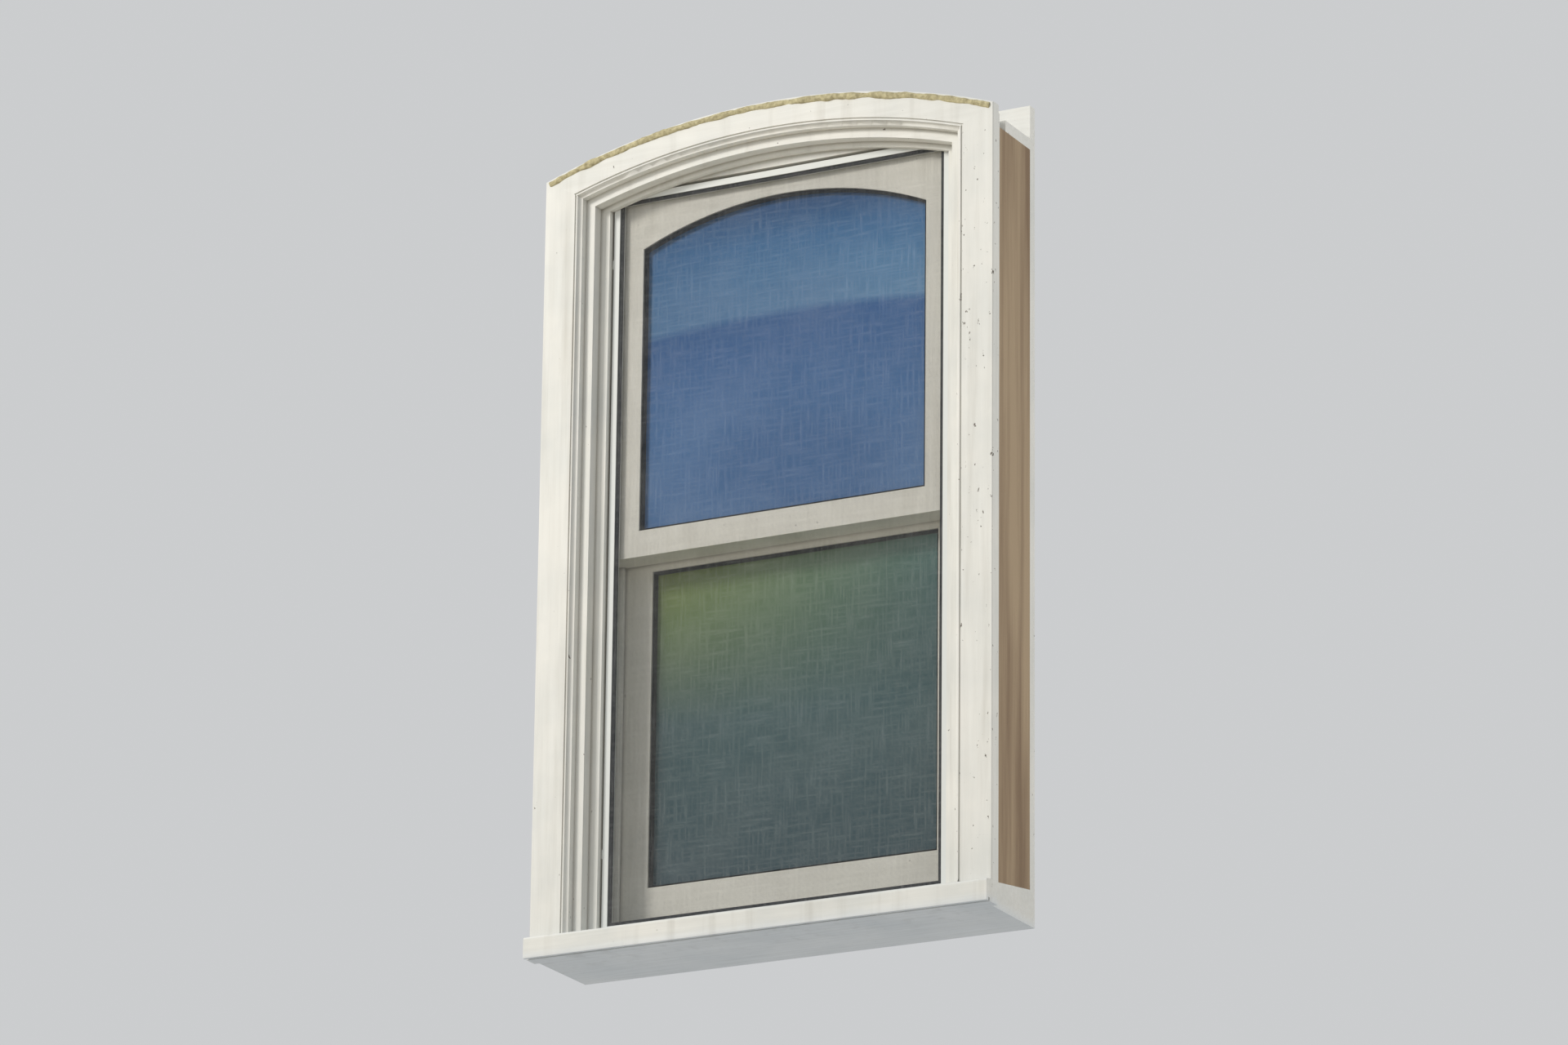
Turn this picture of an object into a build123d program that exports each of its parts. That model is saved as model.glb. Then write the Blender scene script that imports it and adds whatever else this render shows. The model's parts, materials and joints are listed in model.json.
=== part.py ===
from build123d import *
import math
import os

# Segmental-arched double-hung sash window: a timber box frame with an insect screen,
# two sliding sashes, their cords, pulleys and iron weights. Millimetres.
# While it is modelled, x runs to the right seen from outside, y is the depth behind the
# casing's face, towards the room, and z is the height above the arch's springing level.

# Frame, seen from outside
frame_width = 860.0
crown_height = 61.0            # top of the arched casing above the springing level
casing_head_radius = 1269.0    # outer edge of the arched casing
casing_side_width = 70.0
casing_head_width = 59.0
casing_thickness = 20.0
casing_bead = 7.0              # quarter-round on the casing's inner edge
casing_quirk_width = 3.0
casing_quirk_depth = 2.5
casing_bead_flat = 2.0         # between the round and the quirk
lining_side_reveal = 17.0      # how far each step shows inside the one before it
lining_head_reveal = 17.0
lining_thickness = 22.0
blind_side_reveal = 17.5
blind_head_reveal = 9.0
blind_thickness = 22.0
blind_head_thickness = 10.0
blind_head_width = 30.0
edge_setback = 9.0             # box sides behind the casing's outer edge
frame_ease = 1.5               # small round on the edges that show

# Box frame
head_drop = 44.5               # underside of the head jamb below the springing level
jamb_thickness = 20.0
back_lining_thickness = 8.0
inside_lining_thickness = 18.0
inside_lining_head_height = 60.0
filler_height = 36.0
parting_bead_thickness = 8.0
parting_bead_projection = 10.0
parting_groove_depth = 8.0
staff_bead_depth = 16.0
staff_bead_projection = 12.0
staff_bead_round = 8.0

# Sill
sill_fall_deg = 8.0
sill_projection = 20.0
sill_nose_height = 36.0
sill_upstand = 8.0
sill_nose_round = 5.0
drip_groove = 6.0

# Sashes
sash_thickness = 40.0
sash_lap = 6.0                 # how far the sash runs behind the blind stop
side_play = 1.5
face_play = 2.0
bead_play = 1.5
head_play = 1.5
sill_play = 0.5
sash_stile_width = 60.0
upper_sash_height = 650.0
upper_crown_rail = 37.0        # top rail at the middle of its arch
upper_glass_rise = 58.0
upper_meeting_rail = 46.0
lower_sash_height = 690.0
lower_meeting_rail = 58.0
lower_bottom_rail = 75.0
meeting_splay = 5.0
meeting_gap = 1.0
meeting_nose = 3.5             # upper meeting rail past its sash's back, at the top edge
tenon_thickness = 12.0
tenon_length = 44.0
tenon_shoulder = 11.0

# Glass
glass_thickness = 4.0
glass_setback = 14.0           # glass behind the sash's outer face
rebate_width = 8.0
glass_edge_gap = 1.0
glazing_chamfer = 5.0

# Cords, pulleys and weights
cord_radius = 2.5
cord_groove_width = 14.0
cord_groove_depth = 12.0
cord_inset = 6.0               # cord's centre inside the sash's edge
knot_drop = 250.0
knot_hole_radius = 9.0
knot_hole_depth = 16.0
pulley_drop = 80.0             # axle below the head jamb
pulley_cord_radius = 24.0
pulley_flange = 3.0
pulley_wheel_width = 11.0
pulley_groove_gap = 0.3
pulley_groove_flare_deg = 15.0
axle_radius = 4.0
axle_play = 0.05
cheek_gap = 7.0                # wheel's middle to a cheek
cheek_thickness = 3.0
cheek_height = 62.0
cheek_margin = 3.0
faceplate_height = 110.0
faceplate_width = 26.0
faceplate_thickness = 3.0
faceplate_slot_height = 58.0
fit_gap = 0.3
weight_radius = 18.0
weight_neck_radius = 8.0
weight_neck_height = 14.0
weight_eye_radius = 3.0
upper_weight_length = 452.0    # the upper sash's weights just outweigh it
lower_weight_length = 491.0    # the lower sash just outweighs its weights
weight_floor_gap = 14.0
weight_head_gap = 35.0
pocket_height = 390.0
pocket_width = 40.0
pocket_above_sill = 50.0

# Insect screen
screen_bar_width = 11.0
screen_bar_thickness = 8.0
screen_gap = 0.3               # over the sill, and between its pads and the blind stops
screen_side_gap = 3.0          # dark gap round the screen
screen_head_gap = 5.5
screen_pad_height = 16.0       # pads on its edges hold it in the middle of the opening
screen_pad_drop = 130.0
screen_setback = 10.5          # screen face behind the blind stop's face
screen_head_lap = 1.5          # screen over the head jamb's edge
spline_width = 6.0
spline_lip = 1.5
spline_thickness = 4.0
mesh_thickness = 0.5
mesh_columns = 9
mesh_rows = 13
mesh_wire = 1.2

# Sash lock and lifts
lock_plate_length = 60.0
lock_plate_width = 30.0
lock_plate_thickness = 3.0
lock_setback = 21.0            # pivot behind the lower meeting rail's front edge
lock_pin_radius = 4.0
lock_pin_height = 13.0
lock_boss_radius = 9.0
lock_boss_height = 5.0
lock_hub_radius = 10.0
cam_radius = 34.0
cam_half_angle_deg = 33.0
cam_thickness = 4.0
lever_length = 40.0
lever_width = 9.0
keeper_length = 46.0
keeper_plate = 2.0
keeper_wall = 3.0
keeper_setback = 2.5           # keeper behind the cam's reach
keeper_lip = 11.0
keeper_lip_gap = 1.0
lift_spacing = 300.0
lift_width = 40.0
lift_height = 52.0
lift_plate = 2.5
lift_reach = 22.0
lift_hook_thickness = 4.0
lift_hook_rise = 12.0
lift_corner_radius = 8.0
lift_bend_radius = 2.0
lift_above_rail_bottom = 14.0

# Across the frame, from the middle to the right
casing_out = frame_width / 2
casing_in = casing_out - casing_side_width
lining_in = casing_in - lining_side_reveal
blind_in = lining_in - blind_side_reveal
stile_face = blind_in + sash_lap + side_play
stile_back = stile_face + jamb_thickness
box_out = casing_out - edge_setback
box_in = box_out - back_lining_thickness
sash_edge = stile_face - side_play
sight_side = sash_edge - sash_stile_width
bead_in = stile_face - parting_bead_projection
meeting_end = bead_in - side_play

# Through the depth, from the casing's face to the room
lining_front = casing_thickness
blind_front = lining_front + lining_thickness
box_front = blind_front + blind_thickness
upper_front = box_front + face_play
upper_back = upper_front + sash_thickness
parting_front = upper_back + bead_play
parting_back = parting_front + parting_bead_thickness
lower_front = parting_back + bead_play
lower_back = lower_front + sash_thickness
staff_front = lower_back + bead_play
inside_back = staff_front + staff_bead_depth + bead_play
inside_front = inside_back - inside_lining_thickness
upper_track = (upper_front + upper_back) / 2
lower_track = (lower_front + lower_back) / 2
screen_front = blind_front + screen_setback
screen_back = screen_front + screen_bar_thickness

# Heights and arcs
arch_centre = crown_height - casing_head_radius
casing_in_radius = casing_head_radius - casing_head_width
lining_radius = casing_in_radius - lining_head_reveal
blind_radius = lining_radius - blind_head_reveal
head_line = -head_drop
head_top = head_line + jamb_thickness
screen_top = head_line + screen_head_lap
upper_top = head_line - head_play
upper_bottom = upper_top - upper_sash_height
upper_sight_bottom = upper_bottom + upper_meeting_rail
upper_sight_crown = upper_top - upper_crown_rail
upper_sight_radius = (sight_side**2 + upper_glass_rise**2) / (2 * upper_glass_rise)
lower_top = upper_sight_bottom
lower_bottom = lower_top - lower_sash_height
lower_sight_top = lower_top - lower_meeting_rail
lower_sight_bottom = lower_bottom + lower_bottom_rail
sill_slope = math.tan(math.radians(sill_fall_deg))
pulley_z = head_line - pulley_drop
pulley_x = sash_edge - cord_inset + pulley_cord_radius
weight_x = pulley_x + pulley_cord_radius


def sill_height(depth):
    """Height of the sill's sloping top at a depth."""
    return lower_bottom - sill_play - (lower_back - depth) * sill_slope


sill_bottom = sill_height(-sill_projection) - sill_nose_height
inside_reach = max(inside_back, lower_back + lift_reach)
spring_height = -sill_bottom
middle_depth = (inside_reach - sill_projection) / 2


def write(name, shape):
    """Moves a piece to the part's own frame, on the sill's bottom centre, and writes it."""
    export_step(Pos(0, -middle_depth, spring_height) * shape, f"parts/{name}.step")


def write_pair(name, right):
    """Writes a right-hand piece and its mirror image."""
    write(f"{name}_right", right)
    write(f"{name}_left", mirror(right, about=Plane.YZ))


def board(x0, x1, y0, y1, z0, z1):
    """A square board between two opposite corners."""
    middle = Pos((x0 + x1) / 2, (y0 + y1) / 2, (z0 + z1) / 2)
    return middle * Box(x1 - x0, y1 - y0, z1 - z0)


def plate(outline, front, back):
    """An outline drawn in elevation, x across and z up, with its two faces at two depths."""
    return extrude(Plane.XZ.offset(-front) * outline, amount=front - back)


def section(points, x0, x1):
    """A section given as depth and height, run straight across from x0 to x1."""
    face = make_face(Polyline(*points, close=True))
    return extrude(Plane.YZ.offset(x0) * face, amount=x1 - x0)


def arch_height(radius, x):
    """Height of one of the frame's arcs at x."""
    return arch_centre + math.sqrt(radius**2 - x**2)


def under_arch(radius):
    """Everything inside one of the frame's arcs, as an outline."""
    return Pos(0, arch_centre) * Circle(radius)


def under_sill_top(y0, y1):
    """The space from the sill's sloping top down, to trim what stands on it."""
    low = sill_bottom - 1
    corners = [(y0, low), (y1, low), (y1, sill_height(y1)), (y0, sill_height(y0))]
    return section(corners, -frame_width, frame_width)


def casing_section(width):
    """Casing section from its inner edge out: quarter-round, quirk, flat face."""
    quirk = casing_bead + casing_bead_flat
    back_to_round = Line((0, casing_thickness), (0, casing_bead))
    round_edge = RadiusArc((0, casing_bead), (casing_bead, 0), casing_bead)
    rest = Polyline(
        (casing_bead, 0),
        (quirk, 0),
        (quirk, casing_quirk_depth),
        (quirk + casing_quirk_width, casing_quirk_depth),
        (quirk + casing_quirk_width, 0),
        (width - frame_ease, 0),
        (width, frame_ease),
        (width, casing_thickness),
        (0, casing_thickness),
    )
    return make_face([back_to_round, round_edge, rest])


def casings():
    """Arched head casing and the two side casings, mitred at the corners."""
    inner = (casing_in, arch_height(casing_in_radius, casing_in))
    outer = (casing_out, arch_height(casing_head_radius, casing_out))
    head_plane = Plane(
        origin=(0, 0, arch_centre + casing_in_radius), x_dir=(0, 0, 1), z_dir=(-1, 0, 0)
    )
    axis = Axis((0, 0, arch_centre), (0, 1, 0))
    ring = revolve(head_plane * casing_section(casing_head_width), axis=axis)
    top = crown_height + casing_head_width
    above_mitres = make_face(
        Polyline(
            (-inner[0], inner[1]), inner, outer, (casing_out, top), (-casing_out, top),
            (-outer[0], outer[1]), close=True,
        )
    )
    head = ring & plate(above_mitres, -1, casing_thickness + 1)
    side_plane = Plane(origin=(casing_in, 0, sill_bottom), x_dir=(1, 0, 0), z_dir=(0, 0, 1))
    length = crown_height - sill_bottom
    bar = extrude(side_plane * casing_section(casing_side_width), amount=length)
    below_mitre = make_face(
        Polyline(inner, outer, (casing_out, sill_bottom), (casing_in, sill_bottom), close=True)
    )
    side = bar & plate(below_mitre, -1, casing_thickness + 1)
    side -= under_sill_top(-1, casing_thickness + 1)
    write("casing_head", head)
    write_pair("casing", side)


def arched_board(radius, top_radius, half_width, front, back):
    """A board with an arched lower edge on one of the frame's arcs and a like top edge."""
    tall = top_radius - radius * math.cos(math.asin(half_width / radius))
    limit = Pos(0, arch_centre + top_radius - tall / 2) * Rectangle(2 * half_width, tall)
    ring = under_arch(top_radius) - under_arch(radius)
    return plate(ring & limit, front, back)


def standing_board(x0, x1, front, back, radius):
    """A side board that stands on the sill and meets the arched board above it."""
    blank = board(x0, x1, front, back, sill_bottom, arch_height(radius, x0) + 1)
    blank -= under_sill_top(front, back)
    above = plate(
        Pos(0, arch_centre) * Rectangle(4 * radius, 4 * radius) - under_arch(radius), front, back
    )
    return blank - above


def outside_linings():
    """The first step in from the casing."""
    top_radius = casing_head_radius - edge_setback
    write("outside_lining_head", arched_board(lining_radius, top_radius, box_out,
                                              lining_front, blind_front))
    write_pair("outside_lining", standing_board(lining_in, box_out, lining_front,
                                                blind_front, lining_radius))


def blind_stops():
    """The second step, which the screen sits in and the upper sash runs behind."""
    head = arched_board(blind_radius, blind_radius + blind_head_width, stile_back,
                        blind_front, blind_front + blind_head_thickness)
    side = standing_board(blind_in, stile_back, blind_front, box_front, blind_radius)
    filler_low = screen_top + screen_head_gap
    filler_front = blind_front + blind_head_thickness
    filler = board(-stile_back, stile_back, filler_front, box_front, filler_low,
                   filler_low + filler_height)
    side -= board(blind_in - 1, stile_back + 1, filler_front, box_front, filler_low, 0)
    write("blind_stop_head", head)
    write("head_filler_board", filler)
    write_pair("blind_stop", side)


def pulley_mortise(track):
    """Hole for one pulley in the right-hand pulley stile, with the faceplate's recess."""
    recess = SlotOverall(faceplate_height, faceplate_width)
    turned = Plane(origin=(stile_face, track, pulley_z), x_dir=(0, 0, 1), z_dir=(1, 0, 0))
    cut = extrude(turned * recess, amount=faceplate_thickness)
    half_width = cheek_gap + cheek_thickness + fit_gap
    half_height = cheek_height / 2 + fit_gap
    cut += board(stile_face, stile_back, track - half_width, track + half_width,
                 pulley_z - half_height, pulley_z + half_height)
    return cut


def pocket_opening(gap):
    """The weight pocket in the right-hand stile, smaller all round by a gap."""
    low = sill_height(lower_track) + pocket_above_sill
    return board(stile_face, stile_back, lower_track - pocket_width / 2 + gap,
                 lower_track + pocket_width / 2 - gap, low + gap, low + pocket_height - gap)


def jambs():
    """Head jamb, pulley stiles with mortises and pockets, and the box's linings."""
    groove_back = stile_face + parting_groove_depth
    stile = board(stile_face, stile_back, box_front, inside_back, sill_bottom, head_line)
    stile -= under_sill_top(box_front, staff_front)
    stile -= board(0, casing_out, staff_front, inside_back, sill_bottom,
                   sill_height(lower_back) + sill_upstand)
    stile -= board(stile_face, groove_back, parting_front, parting_back, sill_bottom, head_line)
    stile -= pulley_mortise(upper_track) + pulley_mortise(lower_track)
    stile -= pocket_opening(0)
    write_pair("pulley_stile", stile)
    write_pair("pocket_cover", pocket_opening(fit_gap))
    write("head_jamb", board(-box_out, box_out, box_front, inside_back, head_line, head_top))
    inside = board(stile_back, box_out, inside_front, inside_back,
                   sill_height(lower_back) + sill_upstand, head_line)
    write_pair("inside_lining", inside)
    write("inside_lining_head", board(-box_out, box_out, inside_front, inside_back, head_top,
                                      head_top + inside_lining_head_height))
    back = board(box_in, box_out, blind_front, inside_front, sill_bottom, head_line)
    back -= under_sill_top(blind_front, staff_front)
    write_pair("back_lining", back)


def beads():
    """Parting beads in their grooves, and the staff beads that keep the lower sash in."""
    parting = board(bead_in, stile_face + parting_groove_depth, parting_front, parting_back,
                    sill_bottom, head_line)
    parting -= under_sill_top(parting_front, parting_back)
    write_pair("parting_bead", parting)
    staff_in = stile_face - staff_bead_projection
    staff_back = staff_front + staff_bead_depth
    corner = head_line - staff_bead_projection
    side = board(staff_in, stile_face, staff_front, staff_back,
                 sill_height(lower_back) + sill_upstand, head_line)
    inner_edges = side.edges().filter_by(Axis.Z).group_by(Axis.Y)[-1].group_by(Axis.X)[0]
    side = fillet(inner_edges, staff_bead_round)
    above_mitre = [(staff_in, corner), (stile_face, head_line), (staff_in, head_line)]
    side -= plate(make_face(Polyline(*above_mitre, close=True)), staff_front, staff_back)
    head = board(-stile_face, stile_face, staff_front, staff_back, corner, head_line)
    lower_edges = head.edges().filter_by(Axis.X).group_by(Axis.Y)[-1].group_by(Axis.Z)[0]
    head = fillet(lower_edges, staff_bead_round)
    left_out = [(staff_in, corner), (stile_face, corner), (stile_face, head_line)]
    waste = plate(make_face(Polyline(*left_out, close=True)), staff_front, staff_back)
    head -= waste + mirror(waste, about=Plane.YZ)
    write_pair("staff_bead", side)
    write("staff_bead_head", head)


def sill():
    """Sloping sill with horns under the casings, a drip and an upstand behind the sash."""
    step = sill_height(lower_back) + sill_upstand
    body = section(
        [(-sill_projection, sill_bottom), (inside_back, sill_bottom), (inside_back, step),
         (staff_front, step), (staff_front, sill_height(staff_front)),
         (-sill_projection, sill_height(-sill_projection))],
        -casing_out, casing_out,
    )
    nose = body.edges().filter_by(Axis.X).group_by(Axis.Y)[0].group_by(Axis.Z)[-1]
    body = fillet(nose, sill_nose_round)
    notch = board(box_out, casing_out + 1, lining_front, inside_back + 1, sill_bottom - 1, 0)
    body -= notch + mirror(notch, about=Plane.YZ)
    drip_front = -sill_projection / 2
    body -= board(-casing_out, casing_out, drip_front - drip_groove / 2,
                  drip_front + drip_groove / 2, sill_bottom, sill_bottom + drip_groove)
    write("sill", body)


def screen():
    """Screen bars mitred and keyed into one frame, the mesh, and the spline that holds it."""
    half = blind_in - screen_side_gap
    bottom = sill_height(screen_back) + screen_gap
    middle = (screen_top + bottom) / 2
    tall = screen_top - bottom

    def outline(inset):
        return Pos(0, middle) * Rectangle(2 * (half - inset), tall - 2 * inset)

    mesh_front = screen_front + spline_lip
    spline_back = mesh_front + mesh_thickness + spline_thickness
    inner = screen_bar_width + spline_width
    frame = plate(outline(0) - outline(screen_bar_width), screen_front, screen_back)
    ledge = outline(screen_bar_width) - outline(inner)
    frame += plate(ledge, spline_back, screen_back)
    for height in (bottom + screen_pad_drop, screen_top - screen_pad_drop):
        frame += both(board(half, blind_in - screen_gap, mesh_front, screen_back, height,
                            height + screen_pad_height))
    mesh_outline = outline(screen_bar_width)
    width = 2 * (half - inner)
    height = tall - 2 * inner
    gaps = Pos(0, middle) * GridLocations(width / mesh_columns, height / mesh_rows,
                                          mesh_columns, mesh_rows)
    gap = Rectangle(width / mesh_columns - mesh_wire, height / mesh_rows - mesh_wire)
    mesh = plate(mesh_outline - gaps * gap, mesh_front, mesh_front + mesh_thickness)
    spline = plate(ledge, mesh_front + mesh_thickness, spline_back)
    write("screen_frame", frame)
    write("screen_mesh", mesh)
    write("screen_spline", spline)


def sight_outline(top, bottom, grow, arched):
    """The glass opening of a sash, grown all round; its head is arched or straight."""
    half = sight_side + grow
    if not arched:
        return Pos(0, (top + bottom) / 2) * Rectangle(2 * half, top - bottom + 2 * grow)
    low = bottom - grow
    full = Pos(0, (low + top + grow) / 2) * Rectangle(2 * half, top + grow - low)
    return full & Pos(0, top - upper_sight_radius) * Circle(upper_sight_radius + grow)


def cord_groove(top, track):
    """Groove and knot hole in the right-hand edge of a sash."""
    half = cord_groove_width / 2
    cut = board(sash_edge - cord_groove_depth, sash_edge, track - half, track + half,
                top - knot_drop, top)
    knot = Cylinder(knot_hole_radius, knot_hole_depth, rotation=(0, 90, 0))
    return cut + Pos(sash_edge - knot_hole_depth / 2, track, top - knot_drop) * knot


def tenon(rail_low, rail_high, track):
    """A rail's right-hand tenon, set in from the rail's edges."""
    half = tenon_thickness / 2
    return board(sight_side, sight_side + tenon_length, track - half, track + half,
                 rail_low + tenon_shoulder, rail_high - tenon_shoulder)


def chamfered_bead(bead, top, bottom):
    """A glazing bead with its room-side edge round the glass taken off."""
    def frames_glass(edge):
        middle = edge.center()
        return abs(middle.X) < sight_side + 1 and bottom - 1 < middle.Z < top + 1

    room_side = bead.edges().group_by(Axis.Y)[-1]
    return chamfer(room_side.filter_by(frames_glass), glazing_chamfer)


def both(right):
    """A shape with its mirror image."""
    return right + mirror(right, about=Plane.YZ)


def upper_sash():
    """Square-topped sash whose glass is arched, with its glass and glazing bead."""
    front, back, track = upper_front, upper_back, upper_track
    crown, low = upper_sight_crown, upper_sight_bottom
    springing = crown - upper_glass_rise
    glass_front = front + glass_setback
    glass_back = glass_front + glass_thickness
    sight = plate(sight_outline(crown, low, 0, True), front, back)
    rebate = plate(sight_outline(crown, low, rebate_width, True), glass_front, back)
    rail_top = board(-sight_side, sight_side, front, back, low, upper_top)
    opening = sight + (rebate & rail_top)
    top_tenon = tenon(springing, upper_top, track)
    meeting_tenon = tenon(upper_bottom, low, track)
    top_rail = board(-sight_side, sight_side, front, back, springing, upper_top) - opening
    top_rail += both(top_tenon)
    stile = board(sight_side, sash_edge, front, back, upper_bottom, upper_top)
    above_rail = board(sight_side, sash_edge, front, back, low, upper_top)
    stile -= (rebate & above_rail) + top_tenon + meeting_tenon
    stile -= board(sight_side, sight_side + rebate_width, glass_front, glass_back,
                   low - rebate_width, low)
    stile -= cord_groove(upper_top, track)
    rail = board(-sight_side, sight_side, front, back, upper_bottom, low)
    rail -= board(-sight_side, sight_side, glass_front, glass_back, low - rebate_width, low)
    nose = section(
        [(back, upper_bottom), (back + meeting_nose + meeting_splay, upper_bottom),
         (back + meeting_nose, low), (back, low)],
        -meeting_end, meeting_end,
    )
    rail += nose + both(meeting_tenon)
    grow = rebate_width - glass_edge_gap
    pane = plate(sight_outline(crown, low, grow, True), glass_front, glass_back)
    bead_outline = sight_outline(crown, low, rebate_width, True)
    bead_outline -= sight_outline(crown, low, 0, True)
    bead_outline &= Pos(0, low + upper_sash_height) * Rectangle(
        2 * frame_width, 2 * upper_sash_height)
    bead = chamfered_bead(plate(bead_outline, glass_back, back), crown, low)
    write_pair("upper_sash_stile", stile)
    write("upper_sash_top_rail", top_rail)
    write("upper_sash_meeting_rail", rail)
    write("upper_sash_glass", pane)
    write("upper_sash_glazing_bead", bead)


def lower_sash():
    """Plain sash with a splayed meeting rail and a bottom rail cut to the sill's fall."""
    front, back, track = lower_front, lower_back, lower_track
    high, low = lower_sight_top, lower_sight_bottom
    glass_front = front + glass_setback
    glass_back = glass_front + glass_thickness
    foot = lower_bottom - sash_thickness * sill_slope - 1
    waste = section([(front, foot), (back, foot), (back, lower_bottom),
                     (front, lower_bottom - sash_thickness * sill_slope)],
                    -sash_edge, sash_edge)
    opening = plate(sight_outline(high, low, 0, False), front, back)
    opening += plate(sight_outline(high, low, rebate_width, False), glass_front, back)
    meeting_tenon = tenon(high, lower_top, track)
    bottom_tenon = tenon(lower_bottom, low, track)
    stile = board(sight_side, sash_edge, front, back, foot, lower_top)
    stile -= waste + opening + meeting_tenon + bottom_tenon + cord_groove(lower_top, track)
    meeting = board(-sight_side, sight_side, front, back, high, lower_top) - opening
    tip = upper_back + meeting_nose + meeting_gap
    meeting += section(
        [(front, lower_top), (tip, lower_top), (tip + meeting_splay, upper_bottom),
         (front, upper_bottom)],
        -meeting_end, meeting_end,
    )
    meeting += both(meeting_tenon)
    bottom = board(-sight_side, sight_side, front, back, foot, low) - opening - waste
    bottom += both(bottom_tenon)
    grow = rebate_width - glass_edge_gap
    pane = plate(sight_outline(high, low, grow, False), glass_front, glass_back)
    ring = sight_outline(high, low, rebate_width, False) - sight_outline(high, low, 0, False)
    write_pair("lower_sash_stile", stile)
    write("lower_sash_meeting_rail", meeting)
    write("lower_sash_bottom_rail", bottom)
    write("lower_sash_glass", pane)
    bead = chamfered_bead(plate(ring, glass_back, back), high, low)
    write("lower_sash_glazing_bead", bead)


def pulley_housing(track):
    """Faceplate and two cheeks that carry a right-hand pulley wheel."""
    turned = Plane(origin=(stile_face, track, pulley_z), x_dir=(0, 0, 1), z_dir=(1, 0, 0))
    face = SlotOverall(faceplate_height, faceplate_width)
    face -= Rectangle(faceplate_slot_height, 2 * cheek_gap)
    body = extrude(turned * face, amount=faceplate_thickness)
    deep = pulley_x + pulley_cord_radius + pulley_flange + cheek_margin
    half = cheek_height / 2
    for side in (-1, 1):
        near = track + side * cheek_gap
        far = near + side * cheek_thickness
        body += board(stile_face + faceplate_thickness, deep, min(near, far), max(near, far),
                      pulley_z - half, pulley_z + half)
    hole = Cylinder(axle_radius + axle_play, 4 * cheek_gap, rotation=(90, 0, 0))
    return body - Pos(pulley_x, track, pulley_z) * hole


def pulley_wheel(track):
    """Grooved wheel in one piece with its axle, turned from one profile."""
    half = pulley_wheel_width / 2
    rim = pulley_cord_radius + pulley_flange
    stub = cheek_gap + cheek_thickness
    floor = cord_radius + pulley_groove_gap
    root = pulley_cord_radius - floor
    mouth = floor + (rim - root) * math.tan(math.radians(pulley_groove_flare_deg))
    profile = Polyline(
        (0, -stub), (axle_radius, -stub), (axle_radius, -half), (rim, -half), (rim, -mouth),
        (root, -floor), (root, floor), (rim, mouth), (rim, half), (axle_radius, half),
        (axle_radius, stub), (0, stub), close=True,
    )
    wheel = revolve(Plane.XZ * make_face(profile), axis=Axis.Z)
    return Pos(pulley_x, track, pulley_z) * Rot(90, 0, 0) * wheel


def pulleys():
    """Two pulleys in each stile: the outer track's and the inner track's."""
    housings = pulley_housing(upper_track) + pulley_housing(lower_track)
    write_pair("pulley_housings", housings)
    write_pair("upper_pulley_wheel", pulley_wheel(upper_track))
    write_pair("lower_pulley_wheel", pulley_wheel(lower_track))


def weight(track, top, length):
    """Cast-iron sash weight with a drilled neck for its cord."""
    body_top = top - weight_neck_height
    body = Pos(weight_x, track, body_top - (length - weight_neck_height) / 2) * Cylinder(
        weight_radius, length - weight_neck_height)
    body = chamfer(body.edges().filter_by(GeomType.CIRCLE), weight_radius / 4)
    neck = Pos(weight_x, track, body_top + weight_neck_height / 2) * Cylinder(
        weight_neck_radius, weight_neck_height)
    eye = Pos(weight_x, track, body_top + weight_neck_height / 2) * Cylinder(
        weight_eye_radius, 3 * weight_neck_radius, rotation=(0, 90, 0))
    return body + neck - eye


def cord_run(x, track, low):
    """Straight cord from the pulley's level down to a height."""
    return Pos(x, track, (pulley_z + low) / 2) * Cylinder(cord_radius, pulley_z - low)


def cord_bend(track):
    """The cord's half turn over a pulley."""
    section_plane = Plane(origin=(pulley_x - pulley_cord_radius, track, pulley_z))
    axis = Axis((pulley_x, track, pulley_z), (0, 1, 0))
    return revolve(section_plane * Circle(cord_radius), axis=axis, revolution_arc=180)


def cords_and_weights():
    """Each sash's pair of cords, in runs that change length, and its pair of weights."""
    cord_x = sash_edge - cord_inset
    write("upper_sash_cords", both(cord_run(cord_x, upper_track, upper_top - knot_drop)))
    write("lower_sash_cords", both(cord_run(cord_x, lower_track, lower_top - knot_drop)))
    upper_weight_top = sill_height(upper_track) + weight_floor_gap + upper_weight_length
    lower_weight_top = pulley_z - cheek_height / 2 - weight_head_gap
    write("upper_weight_cords", both(cord_run(weight_x, upper_track, upper_weight_top)))
    write("lower_weight_cords", both(cord_run(weight_x, lower_track, lower_weight_top)))
    write("cord_bends", both(cord_bend(upper_track) + cord_bend(lower_track)))
    write_pair("upper_weight", weight(upper_track, upper_weight_top, upper_weight_length))
    write_pair("lower_weight", weight(lower_track, lower_weight_top, lower_weight_length))


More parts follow.
